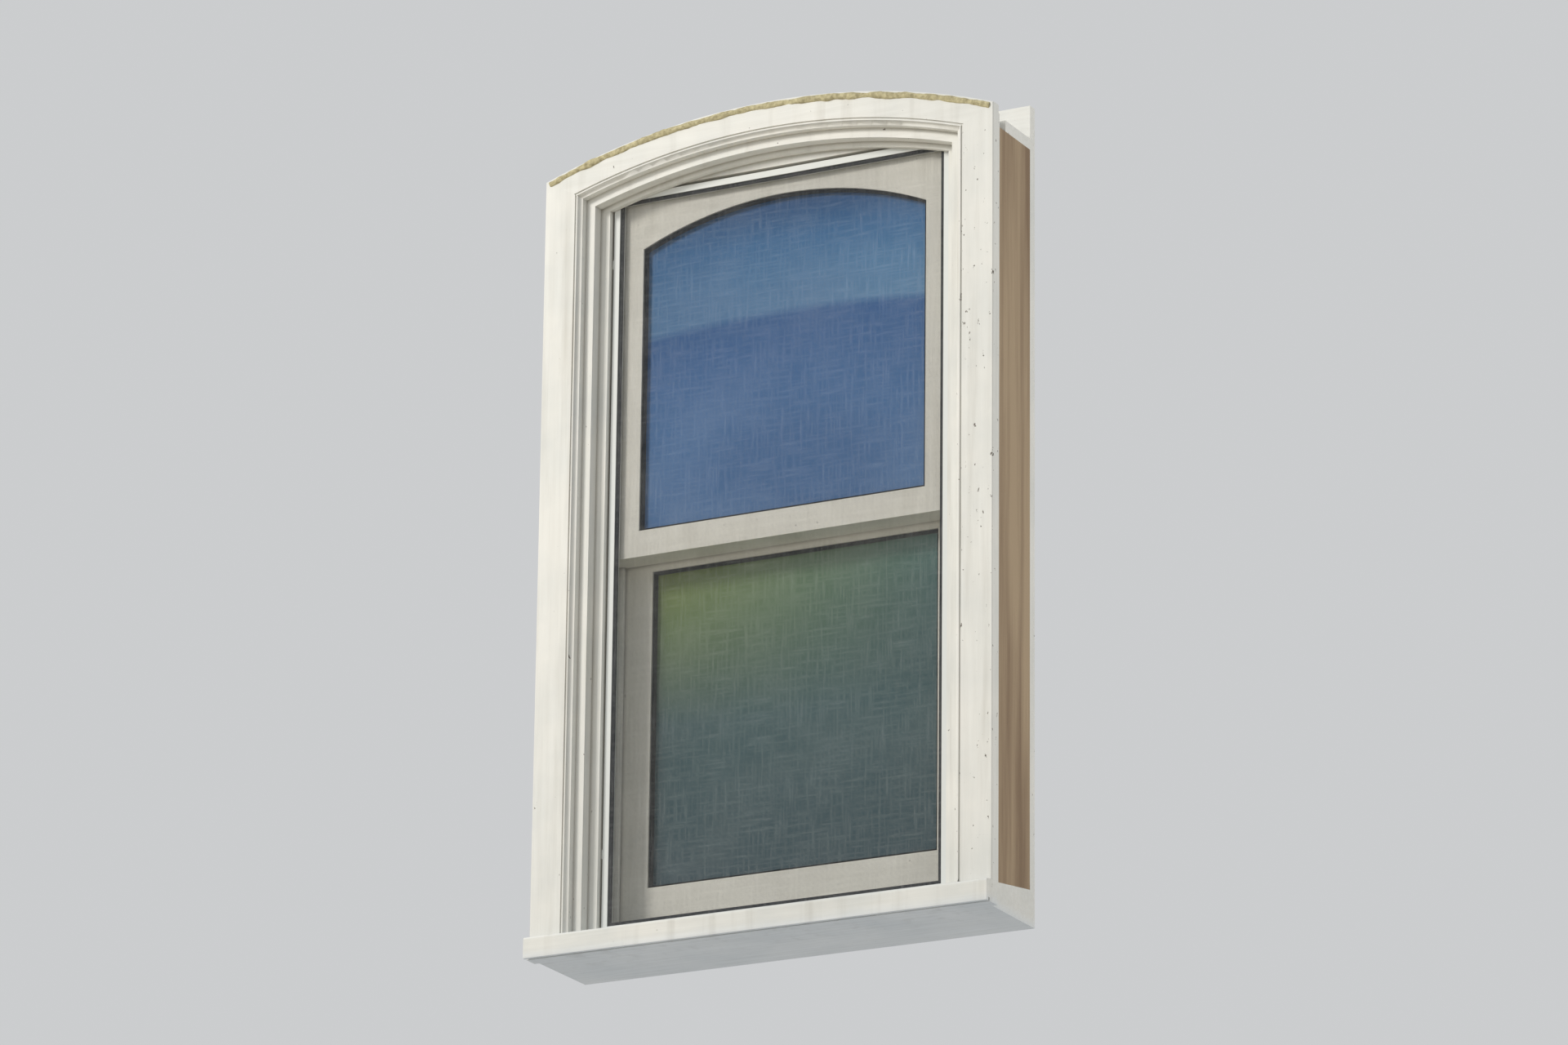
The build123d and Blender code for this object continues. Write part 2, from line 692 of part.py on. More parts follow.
def sash_lock():
    """Base with its pin on the lower meeting rail, the turning cam, and the keeper."""
    pivot_y = upper_back + meeting_nose + meeting_gap + lock_setback
    pivot = Pos(0, pivot_y, lower_top)
    base = Pos(0, 0, lock_plate_thickness / 2) * Box(lock_plate_length, lock_plate_width,
                                                     lock_plate_thickness)
    base = fillet(base.edges().filter_by(Axis.Z), lock_plate_width / 4)
    base += Pos(0, 0, lock_boss_height / 2) * Cylinder(lock_boss_radius, lock_boss_height)
    base += Pos(0, 0, lock_pin_height / 2) * Cylinder(lock_pin_radius, lock_pin_height)
    cam_low = lock_boss_height + fit_gap
    reach = math.radians(cam_half_angle_deg)
    tip = (cam_radius * math.cos(reach), cam_radius * math.sin(reach))
    sector = make_face([
        Polyline((tip[0], -tip[1]), (0, 0), tip),
        ThreePointArc(tip, (cam_radius, 0), (tip[0], -tip[1])),
    ])
    lever = Pos(0, lever_length / 2) * Rectangle(lever_width, lever_length)
    lever += Pos(0, lever_length) * Circle(lever_width / 2)
    cam = extrude(sector + Circle(lock_hub_radius) + lever, amount=cam_thickness)
    cam -= Cylinder(lock_pin_radius + axle_play, 4 * cam_thickness)
    keeper_front = -cam_radius - keeper_setback - keeper_wall
    lip_low = cam_low + cam_thickness + keeper_lip_gap
    keeper = section(
        [(keeper_front, 0), (-lock_setback - meeting_gap - fit_gap, 0),
         (-lock_setback - meeting_gap - fit_gap, keeper_plate),
         (keeper_front + keeper_wall, keeper_plate), (keeper_front + keeper_wall, lip_low),
         (keeper_front + keeper_wall + keeper_lip, lip_low),
         (keeper_front + keeper_wall + keeper_lip, lip_low + keeper_wall),
         (keeper_front, lip_low + keeper_wall)],
        -keeper_length / 2, keeper_length / 2,
    )
    write("lock_base", pivot * base)
    write("lock_cam", pivot * Pos(0, 0, cam_low) * cam)
    write("lock_keeper", pivot * keeper)


def sash_lifts():
    """Two hooked lifts on the lower sash's bottom rail."""
    low = lower_bottom + lift_above_rail_bottom
    out = lower_back + lift_reach
    tip = low + lift_hook_thickness + lift_hook_rise
    lift = section(
        [(lower_back, low), (out, low), (out, tip), (out - lift_hook_thickness, tip),
         (out - lift_hook_thickness, low + lift_hook_thickness),
         (lower_back + lift_plate, low + lift_hook_thickness),
         (lower_back + lift_plate, low + lift_height), (lower_back, low + lift_height)],
        (lift_spacing - lift_width) / 2, (lift_spacing + lift_width) / 2,
    )
    along = lift.edges().filter_by(Axis.X)
    bends = along.filter_by_position(Axis.Y, lower_back + lift_plate, out).filter_by_position(
        Axis.Z, low, low + lift_hook_thickness)
    lift = fillet(bends, lift_bend_radius)
    corners = lift.edges().filter_by(Axis.Y).group_by(Axis.Z)[-1]
    lift = fillet(corners, lift_corner_radius)
    write("sash_lifts", both(lift))


os.makedirs("parts", exist_ok=True)
casings()
outside_linings()
blind_stops()
jambs()
beads()
sill()
screen()
upper_sash()
lower_sash()
pulleys()
cords_and_weights()
sash_lock()
sash_lifts()
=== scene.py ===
import json
import math

import bpy
from mathutils import Matrix, Vector

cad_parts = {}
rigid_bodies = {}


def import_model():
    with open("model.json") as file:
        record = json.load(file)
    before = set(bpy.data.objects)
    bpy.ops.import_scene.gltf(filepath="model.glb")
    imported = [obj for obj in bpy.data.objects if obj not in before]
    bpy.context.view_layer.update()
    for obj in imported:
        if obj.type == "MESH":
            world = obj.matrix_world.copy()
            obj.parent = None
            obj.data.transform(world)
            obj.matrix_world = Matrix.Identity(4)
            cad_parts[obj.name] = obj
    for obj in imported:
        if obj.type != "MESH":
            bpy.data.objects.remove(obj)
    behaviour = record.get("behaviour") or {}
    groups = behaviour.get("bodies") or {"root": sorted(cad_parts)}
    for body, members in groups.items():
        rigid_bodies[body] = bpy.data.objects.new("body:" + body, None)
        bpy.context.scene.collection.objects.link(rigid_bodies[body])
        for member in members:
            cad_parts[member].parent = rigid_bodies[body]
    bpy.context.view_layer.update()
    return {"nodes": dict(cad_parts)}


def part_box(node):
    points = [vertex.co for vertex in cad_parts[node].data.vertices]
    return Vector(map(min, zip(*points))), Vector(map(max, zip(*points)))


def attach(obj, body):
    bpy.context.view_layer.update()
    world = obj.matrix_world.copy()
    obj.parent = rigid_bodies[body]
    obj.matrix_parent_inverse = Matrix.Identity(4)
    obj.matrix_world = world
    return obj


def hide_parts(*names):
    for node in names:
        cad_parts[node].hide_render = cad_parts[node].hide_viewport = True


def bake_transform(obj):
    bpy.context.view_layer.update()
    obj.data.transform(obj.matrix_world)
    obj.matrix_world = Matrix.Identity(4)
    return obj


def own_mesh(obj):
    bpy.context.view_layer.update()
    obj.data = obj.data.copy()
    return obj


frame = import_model()
nodes = frame["nodes"]


# The view. It looks up at the window from its right and from well below its sill, with the small
# tilt of a camera held by hand.
camera_place = Vector((5.491, -10.293, -3.126))
window_middle = Vector((0.0, 0.0, 0.731))
camera_tilt = math.radians(0.65)
bpy.ops.object.camera_add(location=camera_place)
camera = bpy.context.object
aim = (window_middle - camera_place).to_track_quat("-Z", "Y").to_matrix()
camera.rotation_euler = (aim @ Matrix.Rotation(camera_tilt, 3, "Z")).to_euler()
camera.data.lens = 168
camera.data.clip_end = 300
bpy.context.scene.camera = camera
bpy.context.scene.view_settings.view_transform = "Standard"


# The studio. A large soft lamp stands in front of the window, up to the left, and a weaker one on
# its room side. The surround is even and pale, and is seen a little brighter than it lights.
surround_light = (0.50, 0.53, 0.57, 1)
surround_seen = (0.60, 0.61, 0.62, 1)


def add_lamp(name, place, size, power, colour):
    """A square soft lamp that points at the middle of the window."""
    bpy.ops.object.light_add(type="AREA", location=place)
    lamp = bpy.context.object
    lamp.name = name
    lamp.data.size = size
    lamp.data.energy = power
    lamp.data.color = colour
    lamp.rotation_euler = (window_middle - Vector(place)).to_track_quat("-Z", "Y").to_euler()
    lamp.visible_glossy = False


def add_node(owner, kind, feeds=None, **settings):
    """A node in a material or the surround. Each of its feeds is a value or another node's output."""
    node = owner.node_tree.nodes.new("ShaderNode" + kind)
    for setting, value in settings.items():
        setattr(node, setting, value)
    for socket, value in (feeds or {}).items():
        if isinstance(value, bpy.types.NodeSocket):
            owner.node_tree.links.new(value, node.inputs[socket])
        else:
            node.inputs[socket].default_value = value
    return node


def combine(owner, operation, first, second):
    """Two values put together by one operation."""
    return add_node(owner, "Math", {0: first, 1: second}, operation=operation).outputs[0]


def blend_colours(owner, share, first, second):
    """The first colour where share is 0 and the second where it is 1."""
    feeds = {"Fac": share, "Color1": first, "Color2": second}
    return add_node(owner, "MixRGB", feeds).outputs["Color"]


add_lamp("sun_side_lamp", (-3.4, -5.2, 4.4), 1.6, 330, (1.0, 0.965, 0.91))
add_lamp("room_side_lamp", (2.6, 4.6, 3.2), 3.0, 150, (1.0, 0.98, 0.95))
surround = bpy.data.worlds.new("surround")
bpy.context.scene.world = surround
surround.use_nodes = True
rays = add_node(surround, "LightPath").outputs
seen = combine(surround, "MAXIMUM", rays["Is Camera Ray"], rays["Is Transmission Ray"])
seen_or_mirrored = combine(surround, "MAXIMUM", seen, rays["Is Glossy Ray"])
backdrop = blend_colours(surround, seen_or_mirrored, surround_light, surround_seen)
surround.node_tree.links.new(backdrop, surround.node_tree.nodes["Background"].inputs["Color"])


# The floor just under the sill, pale and plain. The view is from below it, so the camera looks
# through its underside. Rays that come straight from the sill pass it too, so the sill is lit below.
floor_size = 240
floor_drop = 0.001
sill_reach = 0.02


def new_material(name, **sockets):
    """A material whose Principled shader has these sockets set."""
    material = bpy.data.materials.new(name)
    material.use_nodes = True
    shader = material.node_tree.nodes["Principled BSDF"]
    for socket, value in sockets.items():
        shader.inputs[socket.replace("_", " ")].default_value = value
    return material


bpy.ops.mesh.primitive_plane_add(size=floor_size, location=(0, 0, -floor_drop))
floor = bpy.context.object
floor.name = "floor"
pale_floor = new_material("pale_floor", Base_Color=(0.66, 0.61, 0.52, 1), Roughness=0.9)
floor_rays = add_node(pale_floor, "LightPath").outputs
underside = add_node(pale_floor, "NewGeometry").outputs["Backfacing"]
from_below = combine(pale_floor, "MULTIPLY", floor_rays["Is Camera Ray"], underside)
from_sill = combine(pale_floor, "LESS_THAN", floor_rays["Ray Length"], sill_reach)
floor_mix = add_node(pale_floor, "MixShader", {
    "Fac": combine(pale_floor, "MAXIMUM", from_below, from_sill),
    1: pale_floor.node_tree.nodes["Principled BSDF"].outputs["BSDF"],
    2: add_node(pale_floor, "BsdfTransparent").outputs["BSDF"],
})
pale_floor.node_tree.links.new(
    floor_mix.outputs["Shader"], pale_floor.node_tree.nodes["Material Output"].inputs["Surface"])
floor.data.materials.append(pale_floor)


# The painted frame: casings, linings, blind stops, beads and sill, in softwood under many coats of
# off-white oil paint, brushed along the grain. The paint has chalked and chipped, its corners are
# darkened with painted shade and dirt, and rain has marked its front.
paint_white = (0.87, 0.86, 0.81, 1)
paint_chalk = (0.75, 0.76, 0.73, 1)
grime = (0.27, 0.235, 0.17, 1)
bare_wood = (0.105, 0.082, 0.062, 1)
# The colour of the painted shade and dirt in the corners, and how far the corner shade reaches.
corner_shade_and_dirt = (0.15, 0.125, 0.085, 1)
corner_shade_reach = 0.008
open_corner_shade = 0.12
tight_corner_shade = 0.6
rain_front = -0.03
rain_back = 0.03
chip_level = 0.72
worn_chips = 0.05
evenly = (1, 1, 1)
along_x = (5.0, 120.0, 120.0)
along_z = (120.0, 120.0, 5.0)
down_the_face = (34.0, 34.0, 2.2)


def feed_shader(material, **sockets):
    """Links outputs into the material's Principled shader."""
    shader = material.node_tree.nodes["Principled BSDF"]
    for socket, output in sockets.items():
        material.node_tree.links.new(output, shader.inputs[socket.replace("_", " ")])


def object_place(material):
    """The piece's own place in the window."""
    return add_node(material, "TexCoord").outputs["Object"]


def place_parts(material):
    """The X, Y and Z of the piece's own place in the window."""
    return add_node(material, "SeparateXYZ", {"Vector": object_place(material)}).outputs


def place_noise(material, stretch, scale, detail, roughness=0.55):
    """Noise on the piece's own place in the window, stretched along x, y and z."""
    mapping = add_node(material, "Mapping", {"Vector": object_place(material), "Scale": stretch})
    feeds = {"Vector": mapping.outputs["Vector"], "Scale": scale, "Detail": detail,
             "Roughness": roughness}
    return add_node(material, "TexNoise", feeds).outputs["Fac"]


def band(material, value, low, high, bottom=0.0, top=1.0):
    """Value moved from the range low to high on to bottom to top, and held there outside it."""
    feeds = {"Value": value, "From Min": low, "From Max": high, "To Min": bottom, "To Max": top}
    return add_node(material, "MapRange", feeds).outputs["Result"]


def mottled(material, noise, low, high, first, second):
    """The first colour where the noise is under low and the second where it is over high."""
    return blend_colours(material, band(material, noise, low, high), first, second)


def relief(material, height, strength, depth):
    """Fine bumps that follow a height, for the shader's Normal."""
    feeds = {"Height": height, "Strength": strength, "Distance": depth}
    return add_node(material, "Bump", feeds).outputs["Normal"]


def cover(material, *names):
    """Puts a material on CAD nodes."""
    for name in names:
        for slot in nodes[name].material_slots:
            slot.material = material


def brushed_paint(name, colour, chalk, grain, corner_shade_share, chip_share=0.0):
    """Old brushed paint: uneven colour, brush marks, dirt in runs, painted shade and dirt in the
    corners, and chips.
    """
    material = new_material(name)
    patches = place_noise(material, evenly, 7.0, detail=4.0)
    mixed = mottled(material, patches, 0.35, 0.75, colour, chalk)
    runs = place_noise(material, down_the_face, 1.0, detail=4.0)
    rained_on = band(material, place_parts(material)["Y"], rain_front, rain_back, 0.24, 0.03)
    dirt = combine(material, "MULTIPLY", band(material, runs, 0.53, 0.78), rained_on)
    mixed = blend_colours(material, dirt, mixed, grime)
    marks = place_noise(material, grain, 1.0, detail=4.0, roughness=0.6)
    mixed = blend_colours(material, band(material, marks, 0.3, 0.7, 0.0, 0.10), mixed, grime)
    # Painted shade and dirt: corners and recesses, found by ambient occlusion, are darkened.
    corner = add_node(material, "AmbientOcclusion", {"Distance": corner_shade_reach}, samples=8)
    corner_shading = band(material, corner.outputs["AO"], 0.4, 0.9, corner_shade_share, 0.0)
    mixed = blend_colours(material, corner_shading, mixed, corner_shade_and_dirt)
    flecks = place_noise(material, (1, 1, 0.6), 110.0, detail=4.0, roughness=0.65)
    chip_edge = chip_level - chip_share
    chips = band(material, flecks, chip_edge, chip_edge + 0.008)
    mixed = blend_colours(material, chips, mixed, bare_wood)
    height = combine(material, "SUBTRACT", marks, chips)
    feed_shader(material, Base_Color=mixed, Roughness=band(material, marks, 0.3, 0.7, 0.38, 0.62),
                Normal=relief(material, height, 0.35, 0.0006))
    return material


casing_upright = brushed_paint("casing_paint_upright", paint_white, paint_chalk, along_z, open_corner_shade)
casing_level = brushed_paint("casing_paint_level", paint_white, paint_chalk, along_x, open_corner_shade)
casing_worn = brushed_paint("casing_paint_worn", paint_white, paint_chalk, along_z, open_corner_shade,
                            worn_chips)
trim_upright = brushed_paint("trim_paint_upright", paint_white, paint_chalk, along_z, tight_corner_shade)
trim_level = brushed_paint("trim_paint_level", paint_white, paint_chalk, along_x, tight_corner_shade)
cover(casing_upright, "casing_left")
cover(casing_level, "casing_head", "sill")
cover(casing_worn, "casing_right")
for side in ("left", "right"):
    cover(trim_upright, f"outside_lining_{side}", f"blind_stop_{side}", f"pulley_stile_{side}",
          f"pocket_cover_{side}", f"parting_bead_{side}", f"staff_bead_{side}", f"inside_lining_{side}")
cover(trim_level, "outside_lining_head", "blind_stop_head", "head_filler_board", "head_jamb",
      "staff_bead_head", "inside_lining_head")


# The back linings are thin boards of rough sawn pine, nailed on as the outer sides of the weight
# boxes. They are out of sight once the window is fitted, and were never painted.
pine = (0.44, 0.33, 0.215, 1)
pine_grain = (0.25, 0.17, 0.105, 1)
bare_pine = new_material("bare_pine", Roughness=0.75)
rings = place_noise(bare_pine, (30.0, 30.0, 1.3), 1.0, detail=5.0, roughness=0.6)
saw_marks = place_noise(bare_pine, (60.0, 60.0, 500.0), 1.0, detail=2.0)
feed_shader(bare_pine, Base_Color=mottled(bare_pine, rings, 0.38, 0.66, pine, pine_grain),
            Normal=relief(bare_pine, saw_marks, 0.3, 0.0005))
cover(bare_pine, "back_lining_left", "back_lining_right")


# The sashes are the same joinery as the frame, with the top rail's lower edge cut to an arc. They
# are painted a warmer stone white, which has gone dull behind the screen.
sash_white = (0.90, 0.88, 0.80, 1)
sash_dull = (0.81, 0.79, 0.72, 1)
# How strongly painted shade and dirt darken the sashes' corners.
sash_corner_shade = 0.5
sash_upright = brushed_paint("sash_paint_upright", sash_white, sash_dull, along_z, sash_corner_shade)
sash_level = brushed_paint("sash_paint_level", sash_white, sash_dull, along_x, sash_corner_shade)
for sash in ("upper", "lower"):
    cover(sash_upright, f"{sash}_sash_stile_left", f"{sash}_sash_stile_right")
    cover(sash_level, f"{sash}_sash_meeting_rail", f"{sash}_sash_glazing_bead")
cover(sash_level, "upper_sash_top_rail", "lower_sash_bottom_rail")


# The panes are plain sheet glass, held in the sashes by the glazing beads. Their outer faces carry
# a painted reflection of the daylight in soft bands of clear blue or green, with painted cloud
# patches and a painted reflection tinting their upper left. Their room sides are a painted hazy grey
# of daylight seen through the glass.
room_side_painted_daylight = (0.33, 0.375, 0.39, 1)
room_side_daylight_share = 0.76
glass_skin = 0.001
band_drift = 0.03


def glass_with_painted_reflections(name, pane, stops, painted_cloud_reflection, painted_left_reflection, left_reflection_share):
    """Glass with a painted reflection whose colour changes from its bottom to its top, tinted towards
    its upper left, and a painted grey of daylight on its room side.
    """
    low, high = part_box(pane)
    material = new_material(name, Roughness=0.03, IOR=1.5, Alpha=0.9)
    parts = place_parts(material)
    waves = place_noise(material, (1.2, 1.0, 1.2), 1.0, detail=0.0)
    drift = band(material, waves, 0.3, 0.7, -band_drift, band_drift)
    height = combine(material, "ADD", parts["Z"], drift)
    # The painted reflection of the sky, in bands from the pane's bottom to its top.
    ramp = add_node(material, "ValToRGB", {"Fac": band(material, height, low.z, high.z)})
    colours = ramp.color_ramp.elements
    colours.remove(colours[1])
    colours[0].position = stops[0][0]
    colours[0].color = stops[0][1]
    for place, colour in stops[1:]:
        colours.new(place).color = colour
    patches = place_noise(material, (2.6, 1.0, 4.2), 1.0, detail=0.0)
    mixed = blend_colours(material, band(material, patches, 0.42, 0.66, 0.0, 0.4),
                          ramp.outputs["Color"], painted_cloud_reflection)
    to_left = band(material, parts["X"], low.x, high.x, left_reflection_share, 0.0)
    near_top = band(material, height, (low.z + high.z) / 2, high.z)
    mixed = blend_colours(material, combine(material, "MULTIPLY", to_left, near_top), mixed, painted_left_reflection)
    # The room side's painted grey of daylight seen through the glass.
    room_side = band(material, parts["Y"], low.y + glass_skin, high.y - glass_skin, 0.0, room_side_daylight_share)
    feed_shader(material, Base_Color=blend_colours(material, room_side, mixed, room_side_painted_daylight))
    cover(material, pane)


glass_with_painted_reflections("upper_pane_glass", "upper_sash_glass", [
    (0.0, (0.10, 0.23, 0.47, 1)),
    (0.3, (0.085, 0.215, 0.47, 1)),
    (0.565, (0.04, 0.15, 0.40, 1)),
    (0.59, (0.15, 0.33, 0.57, 1)),
    (0.69, (0.12, 0.30, 0.55, 1)),
    (0.8, (0.05, 0.20, 0.45, 1)),
    (0.91, (0.012, 0.09, 0.27, 1)),
    (1.0, (0.006, 0.055, 0.18, 1)),
], painted_cloud_reflection=(0.04, 0.13, 0.34, 1), painted_left_reflection=(0.10, 0.21, 0.36, 1), left_reflection_share=0.3)
glass_with_painted_reflections("lower_pane_glass", "lower_sash_glass", [
    (0.0, (0.06, 0.11, 0.13, 1)),
    (0.6, (0.075, 0.155, 0.16, 1)),
    (0.88, (0.105, 0.225, 0.21, 1)),
    (1.0, (0.125, 0.27, 0.245, 1)),
], painted_cloud_reflection=(0.05, 0.105, 0.115, 1), painted_left_reflection=(0.25, 0.31, 0.05, 1), left_reflection_share=0.95)


# A black rubber gasket laps onto the glass with a narrow lip, and its black walls line each sash's
# opening from the glass nearly to the sash's face, where they stand in for the painted shade of the
# reveal. It is moulded in one piece and pushed in once the pane is bedded.
black_rubber_and_reveal_shade = (0.004, 0.0045, 0.005, 1)
dusty_rubber = (0.02, 0.02, 0.02, 1)
gasket_wall = 0.0015
gasket_lip = 0.002
gasket_depth = 0.0105
gasket_ease = 0.0003
glass_lap = 0.0071
upper_pane_rise = 0.058
arc_cuts = 27
gasket_rubber_and_reveal_shade = new_material("gasket_rubber_and_reveal_shade", Roughness=0.55)
gasket_dust = place_noise(gasket_rubber_and_reveal_shade, evenly, 40.0, detail=4.0)
feed_shader(gasket_rubber_and_reveal_shade, Base_Color=mottled(
    gasket_rubber_and_reveal_shade, gasket_dust, 0.45, 0.8, black_rubber_and_reveal_shade, dusty_rubber))


def arch_head(mesh, half, springing, crown):
    """Cuts the flat sheet's head edge into short lengths and lifts them on to an arc."""
    rise = crown - springing
    head_level = springing - 0.001
    for edge in mesh.edges:
        edge.select = all(mesh.vertices[v].co.z > head_level for v in edge.vertices)
    for face in mesh.polygons:
        face.select = False
    for point in mesh.vertices:
        point.select = point.co.z > head_level
    bpy.ops.object.mode_set(mode="EDIT")
    bpy.ops.mesh.select_mode(type="EDGE")
    bpy.ops.mesh.subdivide(number_cuts=arc_cuts)
    bpy.ops.object.mode_set(mode="OBJECT")
    radius = (half ** 2 + rise ** 2) / (2 * rise)
    for point in mesh.vertices:
        if point.co.z > head_level:
            point.co.z = crown - radius + math.sqrt(radius ** 2 - point.co.x ** 2)


def glazing_gasket(name, pane, body, rise):
    """A thin frame on the pane's outer face. Its head rises in an arc where rise isn't zero."""
    low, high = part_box(pane)
    half = high.x - glass_lap
    bottom = low.z + glass_lap
    crown = high.z - glass_lap
    springing = crown - rise
    bpy.ops.object.select_all(action="DESELECT")
    bpy.ops.mesh.primitive_plane_add(size=1, location=(0, low.y, (bottom + springing) / 2),
                                     rotation=(math.pi / 2, 0, 0))
    gasket = bpy.context.object
    gasket.name = name
    gasket.scale = (2 * half, springing - bottom, 1)
    bpy.ops.object.transform_apply(location=True, rotation=True, scale=True)
    mesh = gasket.data
    if rise:
        arch_head(mesh, half, springing, crown)
    rim = {tuple(round(c, 6) for c in point.co) for point in mesh.vertices}
    bpy.ops.object.mode_set(mode="EDIT")
    bpy.ops.mesh.select_mode(type="FACE")
    bpy.ops.mesh.select_all(action="SELECT")
    bpy.ops.mesh.inset(thickness=gasket_wall)
    bpy.ops.mesh.inset(thickness=gasket_lip)
    bpy.ops.mesh.delete(type="FACE")
    bpy.ops.mesh.select_all(action="SELECT")
    bpy.ops.mesh.extrude_region_move(TRANSFORM_OT_translate={"value": (0, -gasket_wall, 0)})
    bpy.ops.object.mode_set(mode="OBJECT")
    lip_front = low.y - gasket_wall
    outer = {(x, round(y - gasket_wall, 6), z) for x, y, z in rim}
    for face in mesh.polygons:
        corners = [tuple(round(c, 6) for c in mesh.vertices[v].co) for v in face.vertices]
        forward = all(abs(corner[1] - lip_front) < 1e-5 for corner in corners)
        face.select = forward and any(corner in outer for corner in corners)
    bpy.ops.object.mode_set(mode="EDIT")
    # These walls line the reveal. Their black stands in for the reveal's painted shade.
    bpy.ops.mesh.extrude_region_move(
        TRANSFORM_OT_translate={"value": (0, gasket_wall - gasket_depth, 0)})
    bpy.ops.mesh.select_all(action="SELECT")
    bpy.ops.mesh.normals_make_consistent(inside=False)
    bpy.ops.object.mode_set(mode="OBJECT")
    eased = gasket.modifiers.new("eased", "BEVEL")
    eased.width = gasket_ease
    eased.segments = 2
    eased.angle_limit = math.radians(50)
    bpy.ops.object.modifier_apply(modifier="eased")
    mesh.materials.append(gasket_rubber_and_reveal_shade)
    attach(gasket, body)


glazing_gasket("upper_glazing_gasket", "upper_sash_glass", "upper_sash", upper_pane_rise)
glazing_gasket("lower_glazing_gasket", "lower_sash_glass", "lower_sash", 0)


# The insect screen's frame is thin flat aluminium with a white powder coat, which is faintly
# pebbled. It is pressed in between the blind stops.
powder_coat = new_material("white_powder_coat", Base_Color=(0.76, 0.78, 0.76, 1), Roughness=0.42)
pebbles = place_noise(powder_coat, evenly, 900.0, detail=2.0)
feed_shader(powder_coat, Normal=relief(powder_coat, pebbles, 0.12, 0.0002))
cover(powder_coat, "screen_frame")


# The spline is a ribbed rubber string. It is rolled into the groove round the screen's frame and
# holds the cloth there.
ribbed_rubber = new_material("ribbed_rubber", Base_Color=(0.035, 0.037, 0.04, 1), Roughness=0.7)
ribs = add_node(ribbed_rubber, "TexWave", {"Vector": object_place(ribbed_rubber), "Scale": 260.0},
                bands_direction="DIAGONAL")
feed_shader(ribbed_rubber, Normal=relief(ribbed_rubber, ribs.outputs["Fac"], 0.4, 0.0004))
cover(ribbed_rubber, "screen_spline")


# The screen's cloth is woven from fine grey wire, eighteen wires to the inch across and sixteen up.
# Paler patches of dust on it also stand for painted sheen, and painted glints run along its wires
# in short streaks both ways.
inch = 0.0254
wire_radius = 0.0001
weave_offset = 0.8 * wire_radius
across_pitch = inch / 18
up_pitch = inch / 16
dull_wire = (0.11, 0.12, 0.13, 1)
dust_and_sheen_wire = (0.28, 0.28, 0.27, 1)
painted_glint_wire = (0.45, 0.46, 0.47, 1)
upright_painted_glints = (190.0, 1.0, 14.0)
level_painted_glints = (14.0, 1.0, 190.0)

screen_wire = new_material("screen_wire", Roughness=0.45)
# Paler patches that are partly dust and partly painted sheen.
wire_dust_and_sheen = place_noise(screen_wire, evenly, 8.0, detail=2.0)
wire_colour = mottled(screen_wire, wire_dust_and_sheen, 0.45, 0.8, dull_wire, dust_and_sheen_wire)
# Painted glints: short paler streaks along the wires, both ways.
painted_glints = [band(screen_wire, place_noise(screen_wire, run, 1.0, detail=2.0, roughness=0.7), 0.45, 0.75)
          for run in (upright_painted_glints, level_painted_glints)]
feed_shader(screen_wire, Base_Color=blend_colours(
    screen_wire, combine(screen_wire, "MAXIMUM", *painted_glints), wire_colour, painted_glint_wire))
mesh_low, mesh_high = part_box("screen_mesh")
mesh_middle = (mesh_low + mesh_high) / 2
mesh_width = mesh_high.x - mesh_low.x
mesh_height = mesh_high.z - mesh_low.z


def wire_set(place, turn, length, count, step):
    """One wire as a four-sided rod, copied in a row."""
    bpy.ops.object.select_all(action="DESELECT")
    bpy.ops.mesh.primitive_cylinder_add(vertices=4, radius=wire_radius, depth=length, location=place,
                                        rotation=turn)
    bpy.ops.object.transform_apply(location=True, rotation=True, scale=True)
    wires = bpy.context.object
    row = wires.modifiers.new("row", "ARRAY")
    row.count = count
    row.use_relative_offset = False
    row.use_constant_offset = True
    row.constant_offset_displace = step
    bpy.ops.object.modifier_apply(modifier="row")
    return wires


upright_wires = wire_set(
    (mesh_low.x + across_pitch / 2, mesh_middle.y - weave_offset, mesh_middle.z), (0, 0, 0),
    mesh_height, int(mesh_width / across_pitch), (across_pitch, 0, 0))
level_wires = wire_set(
    (0, mesh_middle.y + weave_offset, mesh_low.z + up_pitch / 2), (0, math.pi / 2, 0),
    mesh_width, int(mesh_height / up_pitch), (0, 0, up_pitch))
upright_wires.select_set(True)
bpy.context.view_layer.objects.active = level_wires
bpy.ops.object.join()
screen_cloth = bpy.context.object
screen_cloth.name = "screen_wire_cloth"
screen_cloth.data.materials.append(screen_wire)
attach(screen_cloth, "frame")
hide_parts("screen_mesh")


# Sealant was run along the arched casing's outer edge from a nozzle and smoothed with a finger. It
# has dried pale tan and lumpy, and a rough line of it is left.
arch_centre_z = 0.193376
sealant_radius = 1.2612
sealant_front = -0.0795
sealant_end_x = 0.424
sealant_half_angle = math.asin(sealant_end_x / sealant_radius)
nozzle_radius = 0.0038
smeared = (1.5, 0.8, 1)
clean_sealant = (0.60, 0.54, 0.33, 1)
soiled_sealant = (0.27, 0.23, 0.13, 1)

